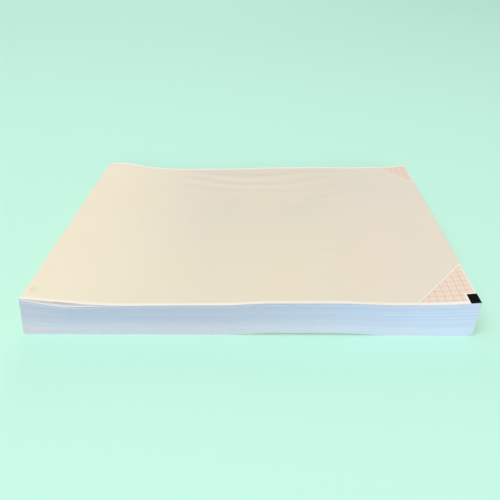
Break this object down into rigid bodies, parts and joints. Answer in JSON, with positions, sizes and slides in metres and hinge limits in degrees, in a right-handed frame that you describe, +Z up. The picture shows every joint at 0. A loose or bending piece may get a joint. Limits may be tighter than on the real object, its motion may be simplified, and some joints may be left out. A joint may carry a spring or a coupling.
{
  "type": "ecg chart paper",
  "caption": "Low pack of fan-folded ECG chart paper: one grid-printed web in stacked leaves, with a plain leader on top whose free corners are trimmed.",
  "frame": {"origin": "centre of the pack's footprint, on the surface that it lies on", "axes": "+X along the leaves, from the left folds to the right folds where the leader's free end lies; +Y across the web, from the front cut edges to the back ones; +Z up"},
  "size_m": [0.281, 0.215, 0.0278],
  "materials": {
    "thermal_paper": "smooth matte thermal paper, cream on its plain back, with a pink grid on its printed face"
  },
  "bodies": {
    "root": {"fanfold_web": "thermal_paper"}
  },
  "joints": []
}
